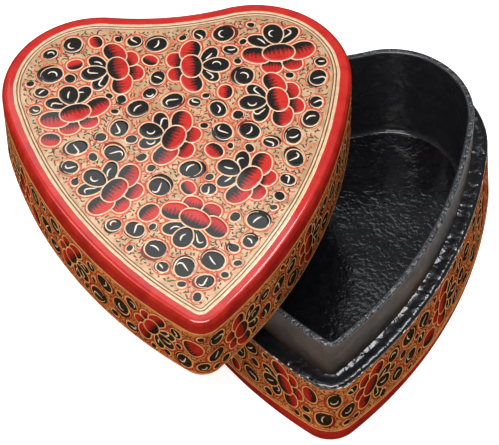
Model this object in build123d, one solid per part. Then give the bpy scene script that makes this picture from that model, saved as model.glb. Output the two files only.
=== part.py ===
"""Heart-shaped papier-mache keepsake box: a base with a raised inner collar, and a lift-off lid.

Millimetres. The origin is the middle of the base's underside, +Z is up, +Y points from the
heart's tip towards its notch. The lid is modelled where it lies: set down askew on the collar's rim.
"""
import os
from math import atan2, cos, degrees, hypot, radians, sin, sqrt

from build123d import *

# ---- heart outline, measured at the foot of the base ----
foot_width = 100.0  # across the two lobes
lobe_radius = 28.5
side_radius = 127.0  # the long side, between lobe and tip
tip_drop = 73.5  # from the lobes' centre line down to the centre of the tip's rounding
tip_radius = 9.0
notch_radius = 66.0  # the shallow hollow between the lobes

# ---- base ----
base_height = 23.9  # outer wall
base_batter = 1.4  # how far the outer wall leans in by its top
foot_round = 0.8  # rounding where the wall meets the table
ledge_width = 4.4  # from the outer wall's top edge to the collar
floor_thickness = 2.3
collar_thickness = 1.9
collar_rise = 13.2  # above the ledge
rim_round = 0.5

# ---- lid ----
lid_clearance = 0.4  # around the collar
lid_wall_thickness = 2.7
lid_height = 23.6  # lower edge to the shoulder, before its rounding
lid_panel_thickness = 3.2
shoulder_round = 2.2
crown = 1.8  # rise of the top panel's middle over its sides

# ---- where the lid lies, from its closed place over the base ----
lid_slid_left = 35.9
lid_slid_forward = 4.2
lid_turned = 2.7  # degrees, anticlockwise from above

# ---- fits that follow ----
collar_inset = base_batter + ledge_width
lid_inner_inset = collar_inset - lid_clearance
lid_inset = lid_inner_inset - lid_wall_thickness
rim_height = base_height + collar_rise
sharp_tip = 0.3  # below this radius the inside of the tip is left as a corner


def circle_meet(first, first_radius, second, second_radius):
    """The left-hand point at given distances from two points."""
    dx = second[0] - first[0]
    dy = second[1] - first[1]
    apart = hypot(dx, dy)
    along = (first_radius**2 - second_radius**2 + apart**2) / (2 * apart)
    across = sqrt(first_radius**2 - along**2)
    middle = (first[0] + dx * along / apart, first[1] + dy * along / apart)
    one = (middle[0] - dy * across / apart, middle[1] + dx * across / apart)
    other = (middle[0] + dy * across / apart, middle[1] - dx * across / apart)
    return min(one, other)


def heading(start, end):
    """Direction from one point to another, in radians."""
    return atan2(end[1] - start[1], end[0] - start[0])


lobe_centre = (foot_width / 2 - lobe_radius, 0.0)
notch_centre = (0.0, sqrt((lobe_radius + notch_radius) ** 2 - lobe_centre[0] ** 2))
tip_centre = (0.0, -tip_drop)
side_centre = circle_meet(lobe_centre, side_radius - lobe_radius, tip_centre, side_radius - tip_radius)
middle_y = (lobe_radius - tip_drop - tip_radius) / 2  # half way between the lobes' tops and the tip


def arc(centre, radius, start, end):
    """Arc of the right half, clockwise from one heading to another, moved to the heart's own middle."""
    points = [(centre[0] + radius * cos(a), centre[1] - middle_y + radius * sin(a))
              for a in (start, (start + end) / 2, end)]
    return ThreePointArc(*points)


def heart(inset, z=0.0):
    """Face inside the heart's outline, moved in by inset, at height z."""
    to_notch = heading(lobe_centre, notch_centre)
    to_lobe = heading(side_centre, lobe_centre)
    to_tip = heading(side_centre, tip_centre)
    down = radians(-90)
    half = [
        arc(notch_centre, notch_radius + inset, down, heading(notch_centre, lobe_centre)),
        arc(lobe_centre, lobe_radius - inset, to_notch, to_lobe),
    ]
    side = side_radius - inset
    if tip_radius - inset > sharp_tip:
        half.append(arc(side_centre, side, to_lobe, to_tip))
        half.append(arc(tip_centre, tip_radius - inset, to_tip, down))
    else:
        axis_crossing = -atan2(sqrt(side**2 - side_centre[0] ** 2), -side_centre[0])
        half.append(arc(side_centre, side, to_lobe, axis_crossing))
    other_half = [edge.mirror(Plane.YZ) for edge in half]
    return Pos(0, 0, z) * make_face(Curve() + half + other_half)


def prism(inset, bottom, top):
    """Upright heart-shaped block."""
    return extrude(heart(inset, bottom), top - bottom)


def edges_at(shape, z, outer=True):
    """The outline edges at one height: the outer loop, or the inner one."""
    face = shape.faces().filter_by(Plane.XY).filter_by_position(Axis.Z, z - 0.01, z + 0.01)[0]
    return face.outer_wire().edges() if outer else face.inner_wires()[0].edges()


def make_base_wall():
    """Outer band: battered outside, upright inside where the collar is glued."""
    wall = loft([heart(0.0), heart(base_batter, base_height)], ruled=True)
    wall -= prism(collar_inset, 0.0, base_height)
    return fillet(edges_at(wall, 0.0), min(foot_round, ledge_width / 3))


def make_base_floor():
    """Bottom panel, let in between the walls."""
    return prism(collar_inset, 0.0, floor_thickness)


def make_collar():
    """Inner wall that stands on the floor panel and rises above the ledge to hold the lid."""
    collar = prism(collar_inset, floor_thickness, rim_height)
    collar -= prism(collar_inset + collar_thickness, floor_thickness, rim_height)
    return fillet(edges_at(collar, rim_height), min(rim_round, collar_thickness / 3))


def make_lid_wall():
    """Side band of the lid, which slides over the collar."""
    top = lid_height - lid_panel_thickness
    return prism(lid_inset, 0.0, top) - prism(lid_inner_inset, 0.0, top)


def make_lid_panel():
    """Top of the lid: crowned above and dished below, with a rounded shoulder."""
    half_width = foot_width / 2 - lid_inset
    ball_radius = (half_width**2 + crown**2) / (2 * crown)
    ball_middle = Pos(0, 0, lid_height + crown - ball_radius)
    bottom = lid_height - lid_panel_thickness
    panel = prism(lid_inset, bottom, lid_height + 2 * crown) & ball_middle * Sphere(ball_radius)
    around_top = panel.edges().filter_by(lambda edge: edge.bounding_box().min.Z > bottom + 0.5)
    panel = fillet(around_top, min(shoulder_round, 0.75 * lid_panel_thickness))
    dish = ball_middle * Sphere(ball_radius - lid_panel_thickness)
    return panel - (prism(lid_inner_inset, bottom, lid_height + crown) & dish)


def as_laid(piece):
    """Move a piece of the lid to where the lid lies on the rim."""
    return Pos(-lid_slid_left, -lid_slid_forward, rim_height) * Rot(0, 0, lid_turned) * piece


def main():
    pieces = {
        "base_wall": make_base_wall(),
        "base_floor": make_base_floor(),
        "collar": make_collar(),
        "lid_wall": as_laid(make_lid_wall()),
        "lid_panel": as_laid(make_lid_panel()),
    }
    os.makedirs("parts", exist_ok=True)
    for name, piece in pieces.items():
        export_step(piece, f"parts/{name}.step")
        box = piece.bounding_box()
        print(f"{name}: {piece.volume:.0f} mm3, z {box.min.Z:.2f} to {box.max.Z:.2f}")


main()
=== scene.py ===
# Heart-shaped lacquered keepsake box with a lift-off lid, hand painted with sprigs and leaves.
# Lengths are millimetres in the frame's own axes, and newPiece() turns them into metres.
import random
from math import atan2, ceil, cos, hypot, pi, radians, sin, sqrt

import bpy
from mathutils import Matrix, Quaternion, Vector, noise


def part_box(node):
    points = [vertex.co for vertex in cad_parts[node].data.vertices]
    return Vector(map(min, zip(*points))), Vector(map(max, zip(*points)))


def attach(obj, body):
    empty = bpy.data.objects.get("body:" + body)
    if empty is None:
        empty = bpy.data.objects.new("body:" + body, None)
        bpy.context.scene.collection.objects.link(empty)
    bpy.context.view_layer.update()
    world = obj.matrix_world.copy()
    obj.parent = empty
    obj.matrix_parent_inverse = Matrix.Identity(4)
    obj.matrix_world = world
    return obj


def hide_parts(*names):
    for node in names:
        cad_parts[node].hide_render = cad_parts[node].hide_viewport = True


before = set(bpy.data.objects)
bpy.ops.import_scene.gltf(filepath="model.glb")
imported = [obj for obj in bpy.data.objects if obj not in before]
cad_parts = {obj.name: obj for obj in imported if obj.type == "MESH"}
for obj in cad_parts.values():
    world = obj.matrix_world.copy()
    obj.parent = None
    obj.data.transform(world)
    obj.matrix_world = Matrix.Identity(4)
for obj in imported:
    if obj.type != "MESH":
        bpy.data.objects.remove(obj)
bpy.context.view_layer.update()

mm = 0.001
tau = 2 * pi


heart = {
    "footWidth": 100.0,
    "lobeRadius": 28.5,
    "sideRadius": 127.0,
    "tipDrop": 73.5,
    "tipRadius": 9.0,
    "notchRadius": 66.0,
    "columns": 720,  # mesh columns around the outline
}


def heading(start, end):
    return atan2(end.y - start.y, end.x - start.x)


def heartArcs():
    # right half, anticlockwise from the tip: centre, radius, first angle, last angle, 1 bulging or -1 hollow
    lobeR, sideR, tipR, notchR = (heart[k] for k in ("lobeRadius", "sideRadius", "tipRadius", "notchRadius"))
    lobeX = heart["footWidth"] / 2 - lobeR
    middleY = (lobeR - heart["tipDrop"] - tipR) / 2
    lobe = Vector((lobeX, -middleY))
    tip = Vector((0, -heart["tipDrop"] - middleY))
    notch = Vector((0, sqrt((lobeR + notchR) ** 2 - lobeX**2) - middleY))
    reachLobe, reachTip = sideR - lobeR, sideR - tipR
    between = tip - lobe
    apart = between.length
    along = (reachLobe**2 - reachTip**2 + apart**2) / (2 * apart)
    across = sqrt(reachLobe**2 - along**2)
    side = lobe + between * (along / apart) + Vector((between.y, -between.x)) * (across / apart)
    return [
        (tip, tipR, -pi / 2, heading(side, tip), 1),
        (side, sideR, heading(side, tip), heading(side, lobe), 1),
        (lobe, lobeR, heading(side, lobe), heading(lobe, notch), 1),
        (notch, notchR, heading(notch, lobe), -pi / 2, -1),
    ]


arcs = heartArcs()


def roundOf(inset):
    # perimeter of the outline moved in by inset, and a function from the length walked to point and normal
    lengths = [(radius - turn * inset) * abs(last - first) for _, radius, first, last, turn in arcs]
    half = sum(lengths)

    def at(s):
        s = s % (2 * half)
        mirrored = s > half
        left = 2 * half - s if mirrored else s
        for (centre, radius, first, last, turn), length in zip(arcs, lengths):
            if left <= length or turn < 0:
                break
            left -= length
        angle = first + (last - first) * min(left / length, 1)
        nx, ny = turn * cos(angle), turn * sin(angle)
        reach = turn * radius - inset
        x, y = centre.x + nx * reach, centre.y + ny * reach
        return (-x, y, -nx, ny) if mirrored else (x, y, nx, ny)

    return 2 * half, at


def insetAt(x, y):
    # how far a point lies inside the outline
    point = Vector((abs(x), y))
    best = 1e3
    for centre, radius, first, last, turn in arcs:
        away = point - centre
        angle = atan2(away.y, away.x)
        if min(first, last) - 0.02 <= angle <= max(first, last) + 0.02:
            best = min(best, turn * (radius - away.length))
    return best


outlineLength, outlineAt = roundOf(0)
columns = [outlineAt(outlineLength * j / heart["columns"]) for j in range(heart["columns"])]


box = {
    "height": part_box("base_wall")[1].z / mm,
    "batter": 1.4,  # how far the outer wall leans in by its top
    "footRound": 0.8,
    "ledgeWidth": 4.4,
    "floorThickness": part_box("base_floor")[1].z / mm,
    "collarThickness": 1.9,
    "rimRound": 0.6,
    "bead": 0.95,  # lacquer run together along the foot of the inner wall
    "rimHeight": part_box("collar")[1].z / mm,
}
lid = {
    "clearance": 0.4,
    "wallThickness": 2.7,
    "wallHeight": (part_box("lid_panel")[0].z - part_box("lid_wall")[0].z) / mm,
    "height": 23.6,  # lower edge to the shoulder
    "panelThickness": 3.2,
    "shoulderRound": 2.2,
    "crown": 1.8,
    "slidLeft": 35.9,  # where it lies, from its closed place
    "slidForward": 4.2,
    "turned": 2.7,  # degrees
}
skin = {
    "paintRoom": 0.19,  # the painted surfaces lie this far in, so that the relief stays within the parts' outer surfaces
    "wave": 0.16,  # unevenness of the painted surfaces
    "waveSize": 17.0,
    "lump": 0.26,  # unevenness of the black lacquer
    "lumpSize": 4.2,
}
collarInset = box["batter"] + box["ledgeWidth"]
lidInnerInset = collarInset - lid["clearance"]
lidInset = lidInnerInset - lid["wallThickness"]
halfWidth = heart["footWidth"] / 2 - lidInset
ballRadius = (halfWidth**2 + lid["crown"] ** 2) / (2 * lid["crown"])
lidPlace = (Matrix.Translation((-lid["slidLeft"], -lid["slidForward"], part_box("lid_wall")[0].z / mm))
            @ Matrix.Rotation(radians(lid["turned"]), 4, "Z"))


def ripple(x, y, z, size, seed):
    # smooth unevenness from 0 to 1
    return min(max(0.5 + 0.6 * noise.noise(Vector((x + seed * 31, y, z)) / size), 0), 1)


def wave(x, y, z):
    return skin["paintRoom"] + skin["wave"] * ripple(x, y, z, skin["waveSize"], 1)


def crownDrop(x, y):
    return ballRadius - sqrt(ballRadius**2 - x * x - y * y)


def lidTopAt(x, y, height=0):
    z = lid["height"] + lid["crown"] - crownDrop(x, y) - wave(x, y, 0)
    return (x, y, z + height)


def sideSurface(lowInset, highInset, top):
    # a wall walked by its length at mid height, then its height
    middle = (lowInset + highInset) / 2
    length, walk = roundOf(middle)

    def at(s, z, height=0):
        x, y, nx, ny = walk(s)
        lean = lowInset + (highInset - lowInset) * z / top - middle
        x, y = x - nx * lean, y - ny * lean
        out = height - wave(x, y, z)
        return (x + nx * out, y + ny * out, z)

    return length, at


def newShape():
    return {"points": [], "faces": [], "maps": [], "finishes": []}


def addFace(shape, corners, spots, finish=0):
    shape["faces"].append(corners)
    shape["maps"].append(spots)
    shape["finishes"].append(finish)


def newPiece(name, shape, materials, body, slotName, place=None, sharp=38):
    mesh = bpy.data.meshes.new(name)
    place = place or Matrix()
    mesh.from_pydata([(place @ Vector(p)) * mm for p in shape["points"]], [], shape["faces"])
    for material in materials:
        mesh.materials.append(material)
    mesh.polygons.foreach_set("material_index", shape["finishes"])
    layer = mesh.uv_layers.new(name="OFBake")
    layer.data.foreach_set("uv", [c for spots in shape["maps"] for spot in spots for c in spot])
    mesh.shade_smooth()
    mesh.set_sharp_from_angle(angle=radians(sharp))
    mesh.update()
    piece = bpy.data.objects.new(name, mesh)
    bpy.context.scene.collection.objects.link(piece)
    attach(piece, body)
    return piece


def rounded(corners):
    # corners, each (inset, height, rounding, finish, cover), to a chain of points with the roundings as arcs
    chain = []
    count = len(corners)
    for k, (inset, z, radius, finish, cover) in enumerate(corners):
        here = Vector((inset, z))
        before = (Vector(corners[k - 1][:2]) - here).normalized()
        after = (Vector(corners[(k + 1) % count][:2]) - here).normalized()
        if radius <= 0:
            chain.append((here, finish, cover))
            continue
        opening = before.angle(after)
        reach = radius / sin(opening / 2)
        centre = here + (before + after).normalized() * reach
        start = here + before * (radius / (sin(opening / 2) / cos(opening / 2))) - centre
        sweep = (pi - opening) * (1 if before.cross(after) < 0 else -1)
        steps = 6
        for n in range(steps + 1):
            angle = sweep * n / steps
            turned = Vector((start.x * cos(angle) - start.y * sin(angle),
                             start.x * sin(angle) + start.y * cos(angle)))
            chain.append((centre + turned, finish, cover if n == steps else "plain"))
    return chain


def rowsOf(corners, step, closed=True):
    # rows along the section: inset, z, outward and upward parts of its normal, cover, strength, finish
    chain = rounded(corners)
    rows = []
    count = len(chain)
    for k in range(count if closed else count - 1):
        start, finish, cover = chain[k]
        end = chain[(k + 1) % count][0]
        pieces = max(1, ceil((end - start).length / step))
        run = (end - start).normalized()
        for n in range(pieces):
            share = n / pieces
            at = start.lerp(end, share)
            strength = 1 if cover == "wall" else sin(pi * share) ** 0.5
            rows.append((at.x, at.y, run.y, run.x, cover, strength, finish))
    if not closed:
        rows.append((*chain[-1][0], 0, 0, "plain", 0, chain[-1][1]))
    return rows


def sweep(shape, corners, step=1.1, closed=True, settle=None, share=1.0):
    # carries a section round the heart, and returns the first and the last ring of point numbers
    rows = rowsOf(corners, step, closed)
    first = len(shape["points"])
    around = heart["columns"]
    for x, y, nx, ny in columns:
        for inset, z, outward, upward, cover, strength, _ in rows:
            px, py, pz = x - nx * inset, y - ny * inset, z
            if settle:
                pz = settle(px, py, pz)
            if cover == "wall":
                push = wave(px, py, pz)
                px, py = px - nx * push, py - ny * push
            elif cover == "lumpy":
                push = strength * skin["lump"] * ripple(px, py, pz, skin["lumpSize"], 2)
                push += strength * skin["lump"] * 0.6 * ripple(px, py, pz, skin["lumpSize"] * 3.1, 3)
                px, py, pz = px - nx * outward * push, py - ny * outward * push, pz - upward * push
            shape["points"].append((px, py, pz))
    depth = len(rows)
    for j in range(around):
        here, there = first + j * depth, first + (j + 1) % around * depth
        u0, u1 = j / around, (j + 1) / around
        for k in range(depth if closed else depth - 1):
            after = (k + 1) % depth
            v0, v1 = share * k / depth, share * (k + 1) / depth
            addFace(shape, (here + k, there + k, there + after, here + after),
                    ((u0, v0), (u1, v0), (u1, v1), (u0, v1)), rows[k][6])
    ends = [[first + j * depth + k for j in range(around)] for k in (0, depth - 1)]
    return ends


def addCap(shape, ring, heightAt, rounds, finish, upward, corner):
    # closes a ring with scaled copies of it down to one point, mapped flat from the given corner
    middle = Vector((0, 6.0))
    start = [Vector(shape["points"][n][:2]) for n in ring]
    span = 1.15 * heart["footWidth"]

    def spot(n):
        x, y = shape["points"][n][:2]
        return (corner[0] + 0.5 * (0.5 + x / span), corner[1] + 0.55 * (0.5 + y / span))

    last = ring
    for k in range(1, rounds):
        scale = 1 - k / rounds
        base = len(shape["points"])
        for p in start:
            q = middle + (p - middle) * scale
            shape["points"].append((q.x, q.y, heightAt(q.x, q.y)))
        this = list(range(base, base + len(ring)))
        for j in range(len(ring)):
            n = (j + 1) % len(ring)
            quad = (last[j], last[n], this[n], this[j])
            quad = quad if upward else quad[::-1]
            addFace(shape, quad, tuple(spot(c) for c in quad), finish)
        last = this
    shape["points"].append((middle.x, middle.y, heightAt(middle.x, middle.y)))
    hub = len(shape["points"]) - 1
    for j in range(len(ring)):
        fan = (last[j], last[(j + 1) % len(ring)], hub)
        fan = fan if upward else fan[::-1]
        addFace(shape, fan, tuple(spot(c) for c in fan), finish)


def feed(tree, node, feeds):
    # each input takes a value, or a link from a socket
    for label, value in feeds.items():
        if isinstance(value, bpy.types.NodeSocket):
            tree.links.new(value, node.inputs[label])
        else:
            node.inputs[label].default_value = value


def addNode(tree, kind, feeds, **settings):
    node = tree.nodes.new(kind)
    for label, value in settings.items():
        setattr(node, label, value)
    feed(tree, node, feeds)
    return node


def ramp(tree, value, low, high, top=1):
    # from 0 at low to top at high, eased at both ends
    return addNode(tree, "ShaderNodeMapRange", {
        "Value": value, "From Min": low, "From Max": high, "To Max": top,
    }, interpolation_type="SMOOTHSTEP").outputs[0]


def placeOf(tree):
    return addNode(tree, "ShaderNodeTexCoord", {}).outputs["Object"]


def newGroup(name, inputs, outputs):
    # the group, the sockets of its inputs and its output node
    group = bpy.data.node_groups.new(name, "ShaderNodeTree")
    for label, value in inputs.items():
        kind = "NodeSocketColor" if isinstance(value, tuple) else "NodeSocketFloat"
        group.interface.new_socket(label, in_out="INPUT", socket_type=kind).default_value = value
    for label, kind in outputs.items():
        group.interface.new_socket(label, in_out="OUTPUT", socket_type=kind)
    return group, group.nodes.new("NodeGroupInput").outputs, group.nodes.new("NodeGroupOutput")


def brushedTone():
    # hand-laid paint: two tones in streaky patches, with a little height and sheen that change with them
    group, given, end = newGroup(
        "Brushed Tone",
        {"Tone": (0.5, 0.5, 0.5, 1), "Second Tone": (0.3, 0.3, 0.3, 1), "Scale": 400.0, "Dull": 0.4,
         "Glossy": 0.25},
        {"Tone": "NodeSocketColor", "Height": "NodeSocketFloat", "Roughness": "NodeSocketFloat"})
    place = placeOf(group)
    patches = addNode(group, "ShaderNodeTexNoise", {
        "Vector": place, "Scale": given["Scale"], "Detail": 5, "Roughness": 0.62, "Distortion": 0.6,
    }).outputs["Fac"]
    finer = addNode(group, "ShaderNodeMath", {0: given["Scale"], 1: 4.3}, operation="MULTIPLY")
    fine = addNode(group, "ShaderNodeTexNoise", {
        "Vector": place, "Scale": finer.outputs[0], "Detail": 3}).outputs["Fac"]
    mixed = addNode(group, "ShaderNodeMix", {
        "Factor": ramp(group, patches, 0.36, 0.66), 6: given["Tone"], 7: given["Second Tone"],
    }, data_type="RGBA")
    height = addNode(group, "ShaderNodeMath", {0: fine, 1: 0.35, 2: patches}, operation="MULTIPLY_ADD")
    sheen = addNode(group, "ShaderNodeMapRange", {
        "Value": fine, "From Min": 0.3, "From Max": 0.7, "To Min": given["Glossy"], "To Max": given["Dull"]})
    feed(group, end, {"Tone": mixed.outputs[2], "Height": height.outputs[0], "Roughness": sheen.outputs[0]})
    return group


def lacquerSkin():
    # thick brushed lacquer: rounded lumps with pits between them
    group, given, end = newGroup("Lacquer Skin", {"Scale": 300.0, "Pits": 0.3}, {"Height": "NodeSocketFloat"})
    place = {"Vector": placeOf(group), "Scale": given["Scale"]}
    lumps = addNode(group, "ShaderNodeTexNoise", {
        **place, "Detail": 1.5, "Roughness": 0.45, "Distortion": 0.5}).outputs["Fac"]
    cells = addNode(group, "ShaderNodeTexVoronoi", place, feature="SMOOTH_F1")
    pits = ramp(group, cells.outputs["Distance"], 0.45, 0.75)
    deep = addNode(group, "ShaderNodeMath", {0: pits, 1: given["Pits"]}, operation="MULTIPLY")
    total = addNode(group, "ShaderNodeMath", {0: lumps, 1: deep.outputs[0]}, operation="SUBTRACT")
    feed(group, end, {"Height": total.outputs[0]})
    return group


def wornEdge():
    # where paint has rubbed off: ridges of the mesh, broken up by noise
    group, given, end = newGroup("Worn Edge", {"Scale": 500.0, "Wear": 0.5}, {"Worn": "NodeSocketFloat"})
    specks = addNode(group, "ShaderNodeTexNoise", {
        "Vector": placeOf(group), "Scale": given["Scale"], "Detail": 6, "Roughness": 0.7})
    shape = addNode(group, "ShaderNodeNewGeometry", {})
    ridge = ramp(group, shape.outputs["Pointiness"], 0.5, 0.6, 0.35)
    both = addNode(group, "ShaderNodeMath", {0: specks.outputs["Fac"], 1: ridge})
    limit = addNode(group, "ShaderNodeMath", {0: 1.05, 1: given["Wear"]}, operation="SUBTRACT").outputs[0]
    past = addNode(group, "ShaderNodeMath", {0: limit, 1: 0.12})
    feed(group, end, {"Worn": ramp(group, both.outputs[0], limit, past.outputs[0])})
    return group


brushedToneGroup = brushedTone()
lacquerSkinGroup = lacquerSkin()
wornEdgeGroup = wornEdge()


def varnished(name, tone, second, scale=420, dull=0.42, glossy=0.26, metal=0.0, coat=0.0, bump=0.25,
              wear=0.0, wornTone=(0, 0, 0), specular=0.5, coatDull=0.12, reliefDepth=0.00015):
    # painted finish, and its varnish where coat isn't 0; reliefDepth is in metres
    material = bpy.data.materials.new(name)
    material.use_nodes = True
    tree = material.node_tree
    paint = addNode(tree, "ShaderNodeGroup", {
        "Tone": (*tone, 1), "Second Tone": (*second, 1), "Scale": scale, "Dull": dull, "Glossy": glossy,
    }, node_tree=brushedToneGroup).outputs
    colour = paint["Tone"]
    if wear:
        edges = addNode(tree, "ShaderNodeGroup", {
            "Scale": scale * 1.6, "Wear": wear}, node_tree=wornEdgeGroup)
        rubbed = {"Factor": edges.outputs["Worn"], 6: colour, 7: (*wornTone, 1)}
        colour = addNode(tree, "ShaderNodeMix", rubbed, data_type="RGBA").outputs[2]
    relief = addNode(tree, "ShaderNodeBump", {
        "Strength": bump, "Distance": reliefDepth, "Height": paint["Height"]})
    feed(tree, tree.nodes["Principled BSDF"], {
        "Base Color": colour, "Roughness": paint["Roughness"], "Normal": relief.outputs["Normal"],
        "Metallic": metal, "Specular IOR Level": specular, "Coat Weight": coat, "Coat Roughness": coatDull})
    return material


def lacquered(name, tone, second, pits=0.3, lumpScale=320, bump=0.6, wornTone=(0.12, 0.12, 0.125),
              specular=0.75, **finish):
    # thick black lacquer, lumpy and pitted
    material = varnished(name, tone, second, bump=bump, wornTone=wornTone, specular=specular,
                         reliefDepth=0.0004, **finish)
    tree = material.node_tree
    lumps = addNode(tree, "ShaderNodeGroup", {"Scale": lumpScale, "Pits": pits}, node_tree=lacquerSkinGroup)
    feed(tree, tree.nodes["Bump"], {"Height": lumps.outputs["Height"]})
    return material


paintTones = {  # first tone, second tone, and what differs from plain varnished paint
    "gold": ((0.77, 0.52, 0.31), (0.55, 0.335, 0.17),
             {"scale": 260, "metal": 0.35, "dull": 0.5, "glossy": 0.34}),
    "red": ((0.62, 0.026, 0.018), (0.50, 0.014, 0.012), {"scale": 150}),
    "black": ((0.0045, 0.004, 0.004), (0.012, 0.007, 0.006), {}),
    "ember": ((0.74, 0.125, 0.055), (0.52, 0.06, 0.026), {"scale": 500}),
    "darkRed": ((0.13, 0.009, 0.006), (0.27, 0.016, 0.009), {}),
    "brown": ((0.13, 0.035, 0.016), (0.06, 0.022, 0.012), {}),
    "olive": ((0.10, 0.062, 0.03), (0.055, 0.033, 0.016), {}),
    "cream": ((0.93, 0.69, 0.46), (0.84, 0.52, 0.30),
              {"scale": 700, "metal": 0.25, "dull": 0.45, "glossy": 0.3}),
    "white": ((0.93, 0.84, 0.72), (0.85, 0.70, 0.55), {"scale": 700}),
}
paintSets = {  # the varnish over the tones
    "top": {"coat": 1.0, "specular": 0.22, "coatDull": 0.05},
    "side": {"coat": 0.0, "specular": 0.0, "metal": 0.0},
}
shadedWallTones = {  # warmer and browner than on the top, and mostly darker: painted shade on the walls
    "gold": ((0.58, 0.22, 0.06), (0.40, 0.11, 0.032)),
    "red": ((0.42, 0.024, 0.014), (0.30, 0.015, 0.010)),
    "black": ((0.016, 0.011, 0.007), (0.034, 0.020, 0.011)),
    "ember": ((0.40, 0.040, 0.014), (0.26, 0.024, 0.010)),
    "cream": ((0.76, 0.37, 0.13), (0.60, 0.25, 0.08)),
    "white": ((0.72, 0.52, 0.34), (0.55, 0.36, 0.20)),
}


def paintSet(where):
    rule = paintSets[where]
    made = {}
    for name, (tone, second, extra) in paintTones.items():
        # the walls take the darker tones, which are painted shade
        if where == "side":
            tone, second = shadedWallTones.get(name, (tone, second))
        made[name] = varnished(f"{name}_{where}", tone, second, **{**extra, **rule})
    return made


paints = {
    "top": paintSet("top"),
    "side": paintSet("side"),
    "lacquer": lacquered("black_lacquer", (0.006, 0.006, 0.008), (0.012, 0.012, 0.015), lumpScale=850,
                         dull=0.26, glossy=0.11, pits=0.4, bump=0.8, specular=0.62),
    "ledge": lacquered("ledge_lacquer", (0.005, 0.005, 0.007), (0.010, 0.010, 0.013), lumpScale=420,
                       dull=0.22, glossy=0.11, pits=0.35, bump=0.7),
    "floor": lacquered("floor_lacquer", (0.0045, 0.0045, 0.006), (0.009, 0.009, 0.012), lumpScale=820,
                       dull=0.15, glossy=0.08, pits=0.3, bump=0.20),
    "inner": lacquered("inner_wall_lacquer", (0.021, 0.021, 0.026), (0.032, 0.032, 0.038), lumpScale=260,
                       dull=0.19, glossy=0.10, pits=0.15, bump=0.5),
    "rim": lacquered("worn_rim_lacquer", (0.030, 0.032, 0.037), (0.010, 0.010, 0.012), scale=900, pits=0.7,
                     lumpScale=1100, dull=0.38, glossy=0.18, wear=0.5, wornTone=(0.15, 0.16, 0.175)),
    "worn": lacquered("worn_collar_lacquer", (0.016, 0.012, 0.009), (0.072, 0.036, 0.018), scale=75,
                      dull=0.6, glossy=0.4, bump=0.4, specular=0.5),
}


def wallFace(length, at, body, place):
    # a wall to paint; the rings are the sizes of a dab's rings, from its rim inwards
    return {"at": at, "paints": "side", "rings": (1, 0.95, 0.85, 0.72, 0.58, 0.44, 0.3, 0.15),
            "round": length, "body": body, "slot": f"{body}_wall_paint", "place": place,
            "spot": lambda u, v: ((u + 12) / (length + 24), v / 26)}


faces = {  # "round" is the length round a wall, and 0 on the top
    "lid_top": {"at": lidTopAt, "paints": "top", "rings": (1, 0.95, 0.75), "round": 0, "body": "lid",
                "slot": "lid_panel_paint", "place": lidPlace,
                "spot": lambda u, v: (0.5 + u / 120, 0.5 + v / 120)},
    "lid_side": wallFace(*sideSurface(lidInset, lidInset, lid["wallHeight"]), "lid", lidPlace),
    "base_side": wallFace(*sideSurface(0, box["batter"], box["height"]), "base", None),
}
for name, face in faces.items():
    face["layers"] = {}
    face["name"] = name

level = {  # height of each coat over the ground, so that later coats lie over earlier ones
    "under": -0.02,
    "ground": 0.014,
    "fineBorder": 0.022,
    "sideBorder": 0.025,
    "border": 0.03,
    "redBand": 0.03,
    "footBorder": 0.05,
    "lap": 0.05,
    "chip": 0.058,
    "halo": 0.020,
    "backLeaf": 0.026,
    "leaf": 0.034,
    "sideBlade": 0.036,
    "middleBlade": 0.056,
    "smallPetal": 0.036,
    "nextSmallPetal": 0.053,
    "sidePetal": 0.072,
    "frontPetal": 0.092,
    "shade": 0.003,  # the black shading over a petal
    "line": 0.006,  # a line over what it lies on
    "ridge": 0.006,  # a line's crown over its sides
}
brush = {  # widths of the drawn lines
    "outline": 0.50,
    "ring": 0.50,
    "curl": 0.58,
    "halo": 0.60,
    "haloGap": 0.42,  # how far out the fiery line runs
    "ground": 0.54,
}


def layerOf(face, paint):
    return face["layers"].setdefault(paint, newShape())


def addPoint(face, shape, u, v, height):
    shape["points"].append(face["at"](u, v, height))
    shape.setdefault("spots", []).append(face["spot"](u, v))
    return len(shape["points"]) - 1


def addQuad(shape, corners):
    addFace(shape, corners, tuple(shape["spots"][c] for c in corners))


def dab(face, paint, centre, outline, height):
    # a drop of paint: its rim dips under the ground, and the rest lies at one height over it
    shape = layerOf(face, paint)
    numbers = []
    for scale in face["rings"]:
        lift = level["under"] if scale == 1 else height
        numbers.append([addPoint(face, shape, centre[0] + (u - centre[0]) * scale,
                                 centre[1] + (v - centre[1]) * scale, lift) for u, v in outline])
    hub = addPoint(face, shape, centre[0], centre[1], height)
    count = len(outline)
    for j in range(count):
        n = (j + 1) % count
        for outer, inner in zip(numbers, numbers[1:]):
            addQuad(shape, (outer[j], outer[n], inner[n], inner[j]))
        addQuad(shape, (numbers[-1][j], numbers[-1][n], hub))


def stroke(face, paint, points, width, height, closed=False, taper=0.35):
    # a drawn line: a low ridge that thins towards its ends
    shape = layerOf(face, paint)
    count = len(points)
    rows = []
    for k, (u, v) in enumerate(points):
        if closed:
            before, after = points[k - 1], points[(k + 1) % count]
            share = 1
        else:
            before, after = points[max(k - 1, 0)], points[min(k + 1, count - 1)]
            reach = min(k, count - 1 - k) / max(taper * (count - 1), 1e-6)
            share = 0.35 + 0.65 * min(reach, 1)
        du, dv = after[0] - before[0], after[1] - before[1]
        size = hypot(du, dv) or 1
        nu, nv = -dv / size, du / size
        half = width / 2 * share
        rows.append([addPoint(face, shape, u + nu * side * half, v + nv * side * half, lift)
                     for side, lift in ((1, level["under"]), (0.72, height), (0, height + level["ridge"]),
                                        (-0.72, height), (-1, level["under"]))])
    for k in range(count if closed else count - 1):
        here, there = rows[k], rows[(k + 1) % count]
        for c in range(4):
            addQuad(shape, (here[c + 1], there[c + 1], there[c], here[c]))


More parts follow.
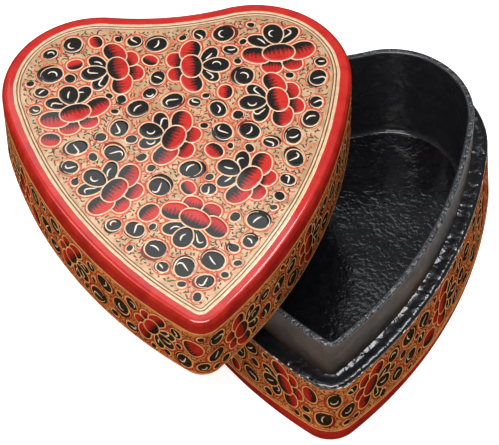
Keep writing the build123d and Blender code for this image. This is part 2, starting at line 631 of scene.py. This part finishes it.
def oval(centre, along, across, turn, count=26, square=2.15, start=0.0, span=tau, scale=1.0):
    # points round a slightly squared oval, or along a part of it
    closed = abs(span - tau) < 1e-6
    points = []
    for k in range(count):
        angle = start + span * k / (count if closed else count - 1)
        c, s = cos(angle), sin(angle)
        reach = scale / (abs(c) ** square + abs(s) ** square) ** (1 / square)
        x, y = along * c * reach, across * s * reach
        points.append((centre[0] + x * cos(turn) - y * sin(turn), centre[1] + x * sin(turn) + y * cos(turn)))
    return points


def moved(centre, turn, points):
    return [(centre[0] + x * cos(turn) - y * sin(turn), centre[1] + x * sin(turn) + y * cos(turn))
            for x, y in points]


def curl(face, centre, size, turn, rng, height):
    # the pale stroke inside a leaf: a dash, a hook or a comma
    kind = rng.random()
    if kind < 0.4:
        bend = rng.uniform(-0.25, 0.25)
        points = [(size * (t - 0.5), size * bend * (1 - 4 * (t - 0.5) ** 2))
                  for t in (0, 0.2, 0.4, 0.6, 0.8, 1)]
    elif kind < 0.8:
        sign = rng.choice((-1, 1))
        reach = size * 0.3
        points = [(size * (0.3 - 0.8 * t), 0) for t in (1, 0.66, 0.33)]
        points += [(size * 0.3 + reach * sin(a), sign * reach * (1 - cos(a)))
                   for a in (0, 0.6, 1.2, 1.8, 2.4)]
    else:
        points = [(size * 0.42 * cos(a), size * 0.42 * sin(a)) for a in (0, 0.5, 1.0, 1.5, 2.0, 2.5, 3.0)]
    stroke(face, "white", moved(centre, turn, points), brush["curl"], height, taper=0.25)


def halo(face, centre, along, across, turn, start=0.0, span=tau):
    # the fiery line that a leaf or a petal is set off with
    out = brush["haloGap"]
    closed = abs(span - tau) < 1e-6
    stroke(face, "ember", oval(centre, along + out, across + out, turn, 22, start=start, span=span),
           brush["halo"], level["halo"], closed=closed)


leafParts = {  # sizes are shares of the leaf's length
    "narrow": (0.76, 0.94),
    "offset": (0.06, 0.15),  # of each of the two dark drops from the middle
    "back": 0.95,
    "front": 0.85,
    "haloSpan": (4.2, 6.0),  # radians
    "ringGap": (0.25, 1.0),  # radians left open in the pale ring
    "curlFrom": 1.9,  # millimetres; a smaller leaf has no curl
    "curl": 0.85,
    "petals": 0.12,  # how many of the larger leaves are petals instead
    "petalShort": 0.82,
}


def ringLeaf(face, centre, reach, rng):
    # a single leaf: dark drop, an open pale ring set off its middle, and a curl inside
    turn = rng.uniform(0, tau)
    along, across = reach, reach * rng.uniform(*leafParts["narrow"])
    shift = rng.uniform(0, tau)
    off = reach * rng.uniform(*leafParts["offset"])
    back = (centre[0] + off * cos(shift), centre[1] + off * sin(shift))
    front = (centre[0] - off * cos(shift), centre[1] - off * sin(shift))
    start = shift - turn + rng.uniform(-1, 1)
    halo(face, centre, along, across, turn, start, rng.uniform(*leafParts["haloSpan"]))
    large, small = leafParts["back"], leafParts["front"]
    paint = rng.choice(("black", "black", "darkRed"))
    dab(face, paint, back, oval(back, along * large, across * large, turn, 20), level["backLeaf"])
    dab(face, "black", front, oval(front, along * small, across * small, turn, 22), level["leaf"])
    gap = rng.uniform(*leafParts["ringGap"])
    stroke(face, "cream", oval(front, along * (small + 0.01), across * (small + 0.01), turn, 24,
                               start=rng.uniform(0, tau), span=tau - gap),
           brush["ring"], level["leaf"] + level["line"])
    if reach > leafParts["curlFrom"]:
        inside = (front[0] + rng.uniform(-0.3, 0.3), front[1] + rng.uniform(-0.3, 0.3))
        curl(face, inside, reach * leafParts["curl"], rng.uniform(0, tau), rng, level["leaf"] + level["line"])


combParts = {
    "teeth": 19,
    "steps": 4,
    "spread": 78,  # degrees either side of the shaded side
    "edge": 0.93,  # where the teeth start, as a share of the petal
    "shortTooth": 0.6,
}


def comb(face, paint, centre, along, across, turn, shaded, full, lift, rng):
    # shading drawn in from the edge of a petal with teeth
    shape = layerOf(face, paint)
    teeth, steps = combParts["teeth"], combParts["steps"]
    start = combParts["edge"]
    rows = []
    for k in range(teeth):
        side = (k / (teeth - 1) - 0.5) * 2
        angle = shaded + side * radians(combParts["spread"])
        edge = oval(centre, along * start, across * start, turn, 2, start=angle - turn, span=0.001)[0]
        tooth = 1.0 if k % 2 else combParts["shortTooth"]
        reach = full * (1 - 0.75 * side * side) * tooth * rng.uniform(0.85, 1.12)
        inner = (edge[0] - cos(shaded) * reach, edge[1] - sin(shaded) * reach)
        rows.append([addPoint(face, shape, edge[0] + (inner[0] - edge[0]) * n / steps,
                              edge[1] + (inner[1] - edge[1]) * n / steps, lift)
                     for n in range(steps + 1)])
    for here, there in zip(rows, rows[1:]):
        for n in range(steps):
            addQuad(shape, (here[n], there[n], there[n + 1], here[n + 1]))


def petal(face, centre, along, across, turn, shaded, height, rng):
    # a red petal: black shading with combed teeth on the shaded side, and a pale outline
    halo(face, centre, along, across, turn)
    dab(face, "red", centre, oval(centre, along, across, turn), height)
    full = min(along, across) * rng.uniform(0.85, 1.05)
    for paint, share, coats in (("darkRed", 1.4, 1), ("black", 0.86, 2)):
        lift = height + coats * level["shade"]
        comb(face, paint, centre, along, across, turn, shaded, full * share, lift, rng)
    stroke(face, "cream", oval(centre, along, across, turn, 32), brush["outline"], height + level["line"],
           closed=True)


def blade(face, stem, turn, length, half, height, rng):
    # a leaf of a sprig, rounded outwards and narrow at its stem
    count = 15
    angles = [pi * k / count for k in range(count + 1)]
    upper = [(length * (1 - cos(a)) / 2, half * sin(a) * (0.62 + 0.38 * sin(a / 2))) for a in angles]
    lower = [(x, -y) for x, y in upper[-2:0:-1]]
    middle = moved(stem, turn, [(length * 0.52, 0)])[0]
    out = brush["haloGap"]
    edge = [(x + out * (2 * x / length - 1), y + out * (y > 0.3 * half)) for x, y in upper[2:]]
    edge += [(x + out * (2 * x / length - 1), y - out * (-y > 0.3 * half)) for x, y in lower[:-2]]
    stroke(face, "ember", moved(stem, turn, edge), brush["halo"], level["halo"])
    outline = moved(stem, turn, upper + lower)
    dab(face, "black", middle, outline[::-1], height)
    stroke(face, "cream", outline, brush["outline"], height + level["line"], closed=True)
    curl(face, middle, length * 0.36, turn + rng.uniform(-0.5, 0.5), rng, height + level["line"])


sprigParts = {
    "reach": 7.05,  # from the middle to the outermost line
    "frontPetal": {"along": 1.4, "across": 0.0, "long": 2.75, "short": 1.95},
    "sidePetals": {"along": 1.5, "across": 3.75, "long": 2.6, "short": 1.85, "lean": 22},
    "smallPetals": {"along": 4.15, "across": 1.75, "long": 1.85, "short": 1.6},
    "leaves": {"stem": -0.5, "fan": 62, "length": 5.0, "half": 1.55, "middleLength": 4.8, "middleHalf": 1.95},
    "room": (  # circles round the petals and the middle leaf: along, across, radius
        (1.5, 0, 2.4), (1.5, 4.1, 2.1), (1.5, -4.1, 2.1), (4.1, 1.7, 1.7), (4.1, -1.7, 1.7), (-3.1, 0, 2.2)),
    "leafRoom": (2.8, 1.8),  # the circle round a side leaf: distance from the stem, radius
}


def sprigRoom(centre, turn, size):
    # the circles that a sprig covers
    leaves = sprigParts["leaves"]
    spots = list(sprigParts["room"])
    away, around = sprigParts["leafRoom"]
    for side in (-1, 1):
        aim = pi + radians(side * leaves["fan"])
        spots.append((leaves["stem"] + away * cos(aim), away * sin(aim), around))
    return [(*moved(centre, turn, [(x * size, y * size)])[0], reach * size) for x, y, reach in spots]


def sprig(face, centre, turn, size, rng):
    # five petals on one side of the stem, three leaves on the other
    def at(x, y):
        return moved(centre, turn, [(x * size, y * size)])[0]

    leaves = sprigParts["leaves"]
    stem = at(leaves["stem"], 0)
    for side in (-1, 1, 0):
        half = leaves["half"] if side else leaves["middleHalf"]
        length = leaves["length"] if side else leaves["middleLength"]
        aim = turn + pi + radians(side * leaves["fan"] * rng.uniform(0.85, 1.05))
        blade(face, stem, aim, length * size * rng.uniform(0.92, 1.05), half * size,
              level["sideBlade" if side else "middleBlade"], rng)
    shaded = turn + pi
    pairs = (("smallPetals", ("smallPetal", "nextSmallPetal")), ("sidePetals", ("sidePetal", "sidePetal")))
    for kind, heights in pairs:
        part = sprigParts[kind]
        for side, height in zip((-1, 1), heights):
            lean = radians(part.get("lean", 0)) * side
            spot = at(part["along"] + rng.uniform(-0.2, 0.2), side * part["across"])
            long = part["long"] * size * rng.uniform(0.93, 1.05)
            aim = shaded + side * 0.2
            petal(face, spot, part["short"] * size, long, turn + lean, aim, level[height], rng)
    part = sprigParts["frontPetal"]
    petal(face, at(part["along"], 0), part["short"] * size, part["long"] * size, turn, shaded,
          level["frontPetal"], rng)
    return sprigRoom(centre, turn, size)


def farEnough(face, taken, u, v, reach, gap):
    around = face["round"]
    for ou, ov, other in taken:
        du = abs(u - ou)
        if around:
            du = min(du, around - du)
        if du < reach + other + gap and hypot(du, v - ov) < reach + other + gap:
            return False
    return True


def inCells(taken, size):
    cells = {}
    for item in taken:
        cells.setdefault((int(item[0] // size), int(item[1] // size)), []).append(item)
    return cells


def nearby(cells, u, v, size):
    cu, cv = int(u // size), int(v // size)
    return [item for i in (-1, 0, 1) for j in (-1, 0, 1) for item in cells.get((cu + i, cv + j), [])]


def fillLeaves(face, taken, fits, area, sizes, rng):
    # single leaves wherever they fit, the largest first
    (lowU, highU), (lowV, highV) = area
    for reach, tries in sizes:
        for _ in range(tries):
            u, v = rng.uniform(lowU, highU), rng.uniform(lowV, highV)
            grown = reach * rng.uniform(0.93, 1.07)
            if fits(u, v, grown) and farEnough(face, taken, u, v, grown, 0.15):
                taken.append((u, v, grown))
                if rng.random() < leafParts["petals"] and grown > leafParts["curlFrom"]:
                    turn = rng.uniform(0, tau)
                    short = grown * leafParts["petalShort"]
                    petal(face, (u, v), short, grown, turn, turn + pi, level["leaf"], rng)
                else:
                    ringLeaf(face, (u, v), grown, rng)


ground = {
    "paints": ("ember", "darkRed", "brown", "olive"),
    "shares": (3, 3, 5, 4),
    "spacing": 0.78,
    "reach": (0.3, 0.8),
    "bend": 2.6,
}


def fillGround(face, taken, fits, area, tries, rng):
    # the ground between: short curls in dark paint, looked up by cell so that each only meets its neighbours
    (lowU, highU), (lowV, highV) = area
    takenCell, strokeCell = 6.0, 1.2
    cells = inCells(taken, takenCell)
    strokes = {}
    for _ in range(tries):
        u, v = rng.uniform(lowU, highU), rng.uniform(lowV, highV)
        if not fits(u, v, 0.3):
            continue
        if not farEnough(face, nearby(cells, u, v, takenCell), u, v, 0.2, 0.0):
            continue
        close = nearby(strokes, u, v, strokeCell)
        if any(hypot(u - ou, v - ov) < ground["spacing"] for ou, ov in close):
            continue
        strokes.setdefault((int(u // strokeCell), int(v // strokeCell)), []).append((u, v))
        paint = rng.choices(ground["paints"], ground["shares"])[0]
        turn, reach = rng.uniform(0, tau), rng.uniform(*ground["reach"])
        bend = rng.uniform(-ground["bend"], ground["bend"])
        points = [(reach * 2 * (t - 0.5), bend * reach * 0.35 * (1 - 4 * (t - 0.5) ** 2))
                  for t in (0, 0.25, 0.5, 0.75, 1)]
        stroke(face, paint, moved((u, v), turn, points), brush["ground"], level["ground"], taper=0.3)


def border(face, paint, along, across, width, height, rng, foot=lambda u: 0.0):
    # a line right round the heart; across is its inset on the top, or its height over foot on a wall
    shift = rng.uniform(0, 100)
    count = int((face["round"] or outlineLength) / 0.5)
    points = []
    for k in range(count):
        share = k / count
        waver = along * noise.noise(Vector((cos(tau * share) * 9 + shift, sin(tau * share) * 9, 0)))
        if face["round"]:
            u = share * face["round"]
            points.append((u, foot(u) + across + waver))
        else:
            x, y, nx, ny = outlineAt(share * outlineLength)
            points.append((x - nx * (across + waver), y - ny * (across + waver)))
    stroke(face, paint, points, width, height, closed=True)


lidTop = {
    "redWidth": 3.3,  # the plain red border, from the lid's outline
    "paleLine": 0.85,
    "field": 5.9,  # where the pattern starts, from the lid's outline
    "sprigSize": 1.55,
    "sprigTries": 9000,
    "sprigGap": 0.1,  # between the room of one sprig and the next
    "leaves": ((3.4, 2500), (2.95, 3500), (2.45, 5000), (1.9, 5000), (1.4, 4000)),  # size and tries
    "groundTries": 24000,
    "area": ((-46, 46), (-52, 54)),
    "fineLines": (("brown", 0.2, 0.32), ("cream", 0.62, 0.5), ("brown", 1.02, 0.28)),  # paint, place, width
}


def paintLidTop():
    rng = random.Random(11)
    face = faces["lid_top"]
    taken = []
    edge = lidInset + lidTop["field"]

    def fits(u, v, reach):
        return insetAt(u, v) > edge + reach

    area = lidTop["area"]
    for _ in range(lidTop["sprigTries"]):
        centre, turn = (rng.uniform(*area[0]), rng.uniform(*area[1])), rng.uniform(0, tau)
        room = sprigRoom(centre, turn, lidTop["sprigSize"])
        if all(fits(*spot) and farEnough(face, taken, *spot, lidTop["sprigGap"]) for spot in room):
            taken += sprig(face, centre, turn, lidTop["sprigSize"] * rng.uniform(0.96, 1.05), rng)
            print(f"  sprig at {centre[0]:.0f}, {centre[1]:.0f}")
    fillLeaves(face, taken, fits, area, lidTop["leaves"], rng)
    fillGround(face, taken, fits, area, lidTop["groundTries"], rng)
    red, pale = lidTop["redWidth"], lidTop["paleLine"]
    border(face, "cream", 0.16, lidInset + red + pale / 2, pale, level["border"], rng)
    for paint, place, width in lidTop["fineLines"]:
        border(face, paint, 0.10, lidInset + red + pale + place, width, level["fineBorder"], rng)


wallPattern = {
    "leaves": ((3.3, 2500), (2.85, 3500), (2.3, 5000), (1.8, 5000), (1.3, 4000)),  # size and tries
    "groundTries": 30000,
    "roomBelow": 0.15,
    "roomAbove": 0.55,
    "turns": (0, 180, 20, 160, -20, 200),  # degrees, the headings of the sprigs
}


def paintSide(name, low, high, seed, spacing, size, foot=lambda u: 0.0):
    # a band of sprigs and leaves round a wall, above the height that foot gives
    rng = random.Random(seed)
    face = faces[name]
    taken = []
    length = face["round"]
    count = int(length // spacing)
    middle = (low + high) / 2
    size = min(size, (high - low) / (2 * sprigParts["reach"]))
    room = sprigParts["reach"] * size
    for k in range(count):
        u = length * (k + 0.5) / count + rng.uniform(-1.5, 1.5)
        v = middle + foot(u) / 2 + rng.uniform(-1.6, 1.6)
        bottom, top = low + foot(u) + room, high - room
        v = min(max(v, bottom), top) if bottom < top else (bottom + top) / 2
        turn = radians(rng.choice(wallPattern["turns"]) + rng.uniform(-15, 15))
        taken += sprig(face, (u, v), turn, size, rng)

    def fits(u, v, reach):
        return low + foot(u) + reach + wallPattern["roomBelow"] < v < high - reach - wallPattern["roomAbove"]

    area = ((0, length), (low, high))
    fillLeaves(face, taken, fits, area, wallPattern["leaves"], rng)
    fillGround(face, taken, fits, area, wallPattern["groundTries"], rng)


print("painting")
paintLidTop()
lidSide = {  # heights from the wall's lower edge; the gold line is where the red above starts
    "goldLine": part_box("lid_wall")[1].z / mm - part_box("lid_wall")[0].z / mm - 1.9,
    "low": 0.6,
    "belowLine": 0.4,  # the pattern's upper edge
    "spacing": 30.0,
    "sprigSize": 1.25,
}
baseSide = {
    "low": 0.9,
    "belowTop": 0.9,
    "spacing": 31.0,
    "sprigSize": 1.3,
    "redStart": 1.0,  # the red band's lower edge
    "redLow": 1.3,  # its height, here and at the heart's tip
    "redTip": 3.8,
    "redSpan": 32.0,
    "lipDown": 0.7,  # from the wall's upper edge to the ledge's black paint
    "blackLap": 0.55,
    "chips": 250,
}


def redFoot(u):
    # the red band round the foot is widest at the tip
    away = min(u, faces["base_side"]["round"] - u) / baseSide["redSpan"]
    return baseSide["redLow"] + (baseSide["redTip"] - baseSide["redLow"]) / (1 + away**3)


paintSide("lid_side", lidSide["low"], lidSide["goldLine"] - lidSide["belowLine"], 21, lidSide["spacing"],
          lidSide["sprigSize"])
paintSide("base_side", baseSide["low"], box["height"] - baseSide["belowTop"], 31, baseSide["spacing"],
          baseSide["sprigSize"], redFoot)
sideRng = random.Random(41)
border(faces["lid_side"], "cream", 0.12, lidSide["goldLine"], 0.5, level["border"], sideRng)
border(faces["lid_side"], "cream", 0.10, 0.35, 0.3, level["sideBorder"], sideRng)
border(faces["base_side"], "cream", 0.12, 0.35, 0.4, level["footBorder"], sideRng, redFoot)
border(faces["base_side"], "cream", 0.14, 1.3, 0.25, level["sideBorder"], sideRng, redFoot)


def strip(face, paint, rowsAt, step):
    # a band of paint right round a wall; rowsAt gives its heights and lifts at a length
    shape = layerOf(face, paint)
    count = int(face["round"] / step)
    rows = [[addPoint(face, shape, k / count * face["round"], z, lift)
             for z, lift in rowsAt(k / count * face["round"])] for k in range(count)]
    for k in range(count):
        here, there = rows[k], rows[(k + 1) % count]
        for c in range(len(here) - 1):
            addQuad(shape, (here[c], there[c], there[c + 1], here[c + 1]))


def redRows(u):
    # the edges of the band dip under the ground
    low, high = baseSide["redStart"], redFoot(u)
    return ((low, level["under"]), (low + 0.1, level["redBand"]), (high / 2 + 0.6, level["redBand"]),
            (high + 0.2, level["redBand"]), (high + 0.3, level["under"]))


strip(faces["base_side"], "red", redRows, 0.6)


def paintLedgeLip():
    # the black lacquer of the ledge laps unevenly over the painted wall, with pale chips along it
    rng = random.Random(51)
    face = faces["base_side"]
    top, lap = box["height"] - baseSide["lipDown"], baseSide["blackLap"]
    length = face["round"]

    def rowsAt(u):
        around = Vector((cos(tau * u / length), sin(tau * u / length), 0)) * 50
        ragged = noise.noise(around / 4.1) + 0.6 * noise.noise(around / 1.1 + Vector((9, 0, 0)))
        low = min(top - lap * (0.75 + 0.8 * ragged), top - 0.12)
        return ((low - 0.1, level["under"]), (low, level["lap"]),
                (top - 0.05, level["lap"]), (top, level["under"]))

    strip(face, "ledge", rowsAt, 0.28)
    for _ in range(baseSide["chips"]):
        u = rng.uniform(0, length)
        if noise.noise(Vector((u / 14, 3, 0))) < -0.05:
            continue
        v = top - rng.uniform(-0.05, lap * 1.3)
        long, short = rng.uniform(0.2, 0.6), rng.uniform(0.12, 0.26)
        dab(face, "chip", (u, v), oval((u, v), long, short, rng.uniform(-0.4, 0.4), 9), level["chip"])


paintLedgeLip()
paints["chip"] = paints["top"]["white"]
layerNames = {
    "ledge": "ledge_lap", "chip": "ledge_chips", "ember": "halos", "red": "petals", "black": "leaves",
    "cream": "pale_lines", "white": "curls", "darkRed": "red_lines", "brown": "brown_strokes",
    "olive": "olive_strokes",
}
for name, face in faces.items():
    for paint, shape in face["layers"].items():
        material = paints[face["paints"]].get(paint) or paints[paint]
        piece = newPiece(f"{name}_{layerNames[paint]}", shape, [material], face["body"], face["slot"],
                         face["place"], sharp=60)
        print(f"  {piece.name}: {len(shape['faces'])} faces")


def makeBaseWall():
    shape = newShape()
    top, batter, foot = box["height"], box["batter"], box["footRound"]
    lean = batter / top
    rounding = [(skin["paintRoom"] + foot * (1 - sin(a)), foot * (1 - cos(a)), 0, finish, "plain")
                for a, finish in ((0, 2), (radians(35), 2), (radians(65), 1))]
    sweep(shape, rounding + [
        (lean * foot, foot + 0.15, 0, 1, "wall"),
        (lean * 1.2, 1.2, 0, 0, "wall"),
        (lean * (top - 0.85), top - 0.85, 0, 2, "wall"),
        (batter + 0.25, top - 0.55, 0, 2, "plain"),
        (batter + 0.55, top - 0.3, 0, 2, "plain"),
        (batter + 1.0, top - 0.12, 0, 2, "plain"),
        (batter + 1.7, top - 0.02, 0, 2, "lumpy"),
        (collarInset, top, 0, 2, "plain"),
        (collarInset, 0.0, 0, 2, "plain"),
    ])
    finishes = [paints["side"]["gold"], paints["side"]["red"], paints["ledge"]]
    piece = newPiece("base_wall_body", shape, finishes, "base", "base_wall_paint")
    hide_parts("base_wall")


def makeCollar():
    shape = newShape()
    top, floor = box["rimHeight"], box["floorThickness"]
    inner = collarInset + box["collarThickness"]
    bead = box["bead"]
    sweep(shape, [
        (collarInset + 0.02, floor, 0, 1, "plain"),
        (collarInset + 0.02, top, box["rimRound"], 0, "lumpy"),
        (inner, top, box["rimRound"], 2, "lumpy"),
        (inner, floor + bead, 0, 2, "plain"),
        (inner + bead * 0.3, floor + bead * 0.3, 0, 2, "plain"),
        (inner + bead, floor - 0.1, 0, 2, "plain"),
    ], step=0.8)
    piece = newPiece("collar_body", shape, [paints["rim"], paints["worn"], paints["inner"]], "base",
                     "collar_lacquer", sharp=60)
    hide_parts("collar")


def makeFloor():
    shape = newShape()
    inner = collarInset + box["collarThickness"]
    top = box["floorThickness"]

    def heightAt(x, y):
        low = 0.10 * ripple(x, y, 0, 4.5, 5) + 0.5 * ripple(x, y, 0, 16, 6)
        return top - 0.45 * low

    rings = sweep(shape, [
        (inner - 0.6, 0.0, 0, 0, "plain"),
        (collarInset + 0.05, 0.0, 0, 0, "plain"),
        (collarInset + 0.05, top - 0.02, 0, 0, "plain"),
        (inner - 0.05, top - 0.02, 0, 0, "plain"),
    ], closed=False, share=0.4)
    addCap(shape, rings[1], heightAt, 60, 0, True, (0, 0.43))
    addCap(shape, rings[0], lambda x, y: 0.0, 6, 0, False, (0.5, 0.43))
    piece = newPiece("base_floor_body", shape, [paints["floor"]], "base", "base_floor_lacquer")
    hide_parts("base_floor")


def makeLidWall():
    shape = newShape()
    top = lid["wallHeight"]
    line = lidSide["goldLine"]
    sweep(shape, [
        (lidInset + 0.3, 0.0, 0, 0, "plain"),
        (lidInset, 0.3, 0, 0, "wall"),
        (lidInset, line, 0, 1, "wall"),
        (lidInset, top, 0, 2, "wall"),
        (lidInnerInset, top, 0, 2, "plain"),
        (lidInnerInset, 0.0, 0, 2, "plain"),
    ])
    finishes = [paints["side"]["gold"], paints["side"]["red"], paints["lacquer"]]
    piece = newPiece("lid_wall_body", shape, finishes, "lid", "lid_wall_paint", lidPlace)
    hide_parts("lid_wall")


def makeLidPanel():
    shape = newShape()
    low = lid["wallHeight"]
    flat = lid["height"] + lid["crown"]
    shoulder = lid["shoulderRound"]
    red = lidTop["redWidth"] + 0.3

    def settle(x, y, z):
        share = (z - low) / (flat - low)
        return z - (crownDrop(x, y) + wave(x, y, 0)) * share

    # the steep lower half of the shoulder takes the walls' darker red: painted shade where the shoulder turns
    # from the light
    arc = [(lidInset + shoulder * (1 - cos(a)), flat - shoulder * (1 - sin(a)), 0, 3 if n < 6 else 1, "plain")
           for n, a in enumerate(radians(9 * n) for n in range(11))]
    chain = [(lidInset, low, 0, 3, "plain")] + arc + [
        (lidInset + red, flat, 0, 0, "plain"),
        (lidInset + red + 2.4, flat, 0, 0, "plain"),
    ]
    chain = [(i + (skin["paintRoom"] + skin["wave"] / 2 if i < lidInset + shoulder else 0) *
              max(0, 1 - (i - lidInset) / shoulder), z, r, f, c) for i, z, r, f, c in chain]
    chain = [(lidInnerInset + 0.2, low, 0, 2, "plain"), (lidInnerInset, low, 0, 2, "plain")] + chain
    rings = sweep(shape, chain, step=0.9, closed=False, settle=settle, share=0.4)
    addCap(shape, rings[1], lambda x, y: lidTopAt(x, y)[2], 44, 0, True, (0, 0.43))

    def under(x, y):
        dome = lid["height"] + lid["crown"] - crownDrop(x, y) - lid["panelThickness"]
        return dome + 0.3 * ripple(x, y, 0, 7, 8)

    addCap(shape, rings[0], under, 30, 2, False, (0.5, 0.43))
    finishes = [paints["top"]["gold"], paints["top"]["red"], paints["lacquer"], paints["side"]["red"]]
    piece = newPiece("lid_panel_body", shape, finishes, "lid", "lid_panel_paint", lidPlace, sharp=50)
    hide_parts("lid_panel")


makeBaseWall()
makeCollar()
makeFloor()
makeLidWall()
makeLidPanel()


print("studio")
studio = {
    "floorTone": (0.8, 0.8, 0.8),
    "floorGlow": 0.75,  # lifts the paper towards white
    "floorReach": 6.0,  # metres
    "sky": 0.14,
}


def makeFloorPlane():
    reach = studio["floorReach"]
    mesh = bpy.data.meshes.new("studio_floor")
    mesh.from_pydata([(-reach, -reach, 0), (reach, -reach, 0), (reach, reach, 0), (-reach, reach, 0)], [],
                     [(0, 1, 2, 3)])
    material = bpy.data.materials.new("studio_paper")
    material.use_nodes = True
    tree = material.node_tree
    path = addNode(tree, "ShaderNodeLightPath", {})
    glow = addNode(tree, "ShaderNodeMapRange", {
        "Value": path.outputs["Is Camera Ray"], "To Max": studio["floorGlow"]})
    feed(tree, tree.nodes["Principled BSDF"], {
        "Base Color": (*studio["floorTone"], 1), "Roughness": 0.9, "Specular IOR Level": 0.1,
        "Emission Color": (1, 1, 1, 1), "Emission Strength": glow.outputs[0]})
    mesh.materials.append(material)
    floor = bpy.data.objects.new("studio_floor", mesh)
    bpy.context.scene.collection.objects.link(floor)


def makeSky():
    world = bpy.data.worlds.new("studio")
    world.use_nodes = True
    tree = world.node_tree
    path = addNode(tree, "ShaderNodeLightPath", {})
    strength = addNode(tree, "ShaderNodeMapRange", {
        "Value": path.outputs["Is Camera Ray"], "To Min": studio["sky"], "To Max": 1.0})
    feed(tree, tree.nodes["Background"], {"Strength": strength.outputs[0], "Color": (1, 1, 1, 1)})
    bpy.context.scene.world = world


softboxes = {  # metres: middle, what it faces, size, heading of its first side in degrees, watts, colour
    "window": {"at": (-0.239, 0.601, 1.0), "to": (-0.239, 0.601, 0.0), "size": (1.0, 0.45), "turn": -41.5,
               "watts": 2.0, "tone": (0.90, 0.95, 1.0)},
    "top": {"at": (-0.10, -0.30, 1.1), "to": (0, 0, 0.03), "size": (0.7, 0.4), "turn": 0,
            "watts": 8.0, "tone": (1.0, 0.98, 0.95)},
    "front": {"at": (-0.25, -1.05, 1.05), "to": (0, 0, 0.02), "size": (0.6, 0.3), "turn": -14,
              "watts": 1.9, "tone": (1.0, 0.98, 0.94)},
    "left": {"at": (-1.1, -0.1, 0.9), "to": (0, 0, 0.02), "size": (0.8, 0.8), "turn": 90,
             "watts": 5.4, "tone": (1.0, 0.99, 0.97)},
    "edge": {"at": (0.42, 0.24, 1.0), "to": (0, 0, 0.02), "size": (0.30, 0.30), "turn": 0,
             "watts": 3.0, "tone": (0.94, 0.96, 1.0)},
}


def makeLights():
    for name, lamp in softboxes.items():
        light = bpy.data.lights.new(name, "AREA")
        light.shape = "RECTANGLE"
        light.size, light.size_y = lamp["size"]
        light.energy = lamp["watts"]
        light.color = lamp["tone"]
        piece = bpy.data.objects.new(name, light)
        back = (Vector(lamp["at"]) - Vector(lamp["to"])).normalized()
        side = Vector((cos(radians(lamp["turn"])), sin(radians(lamp["turn"])), 0))
        side = (side - back * side.dot(back)).normalized()
        turned = Matrix((side, back.cross(side), back)).transposed()
        piece.matrix_world = Matrix.Translation(lamp["at"]) @ turned.to_4x4()
        piece.visible_camera = False
        bpy.context.scene.collection.objects.link(piece)


camera = {
    "aim": (-18.69, 18.68, 0.0),  # the point of the table in the middle of the view
    "distance": 902.6,
    "azimuth": -1.656,
    "elevation": 53.794,
    "roll": -1.369,
    "lens": 230.3,
}


def makeCamera():
    az, el = radians(camera["azimuth"]), radians(camera["elevation"])
    back = Vector((sin(az) * cos(el), -cos(az) * cos(el), sin(el)))
    data = bpy.data.cameras.new("camera")
    data.sensor_width = 36
    data.lens = camera["lens"]
    data.clip_start, data.clip_end = 0.05, 50
    eye = bpy.data.objects.new("camera", data)
    eye.location = (Vector(camera["aim"]) + back * camera["distance"]) * mm
    eye.rotation_mode = "QUATERNION"
    roll = Quaternion((0, 0, 1), radians(camera["roll"]))
    eye.rotation_quaternion = (-back).to_track_quat("-Z", "Y") @ roll
    bpy.context.scene.collection.objects.link(eye)
    bpy.context.scene.camera = eye


makeFloorPlane()
makeSky()
makeLights()
makeCamera()
bpy.context.scene.view_settings.view_transform = "Standard"
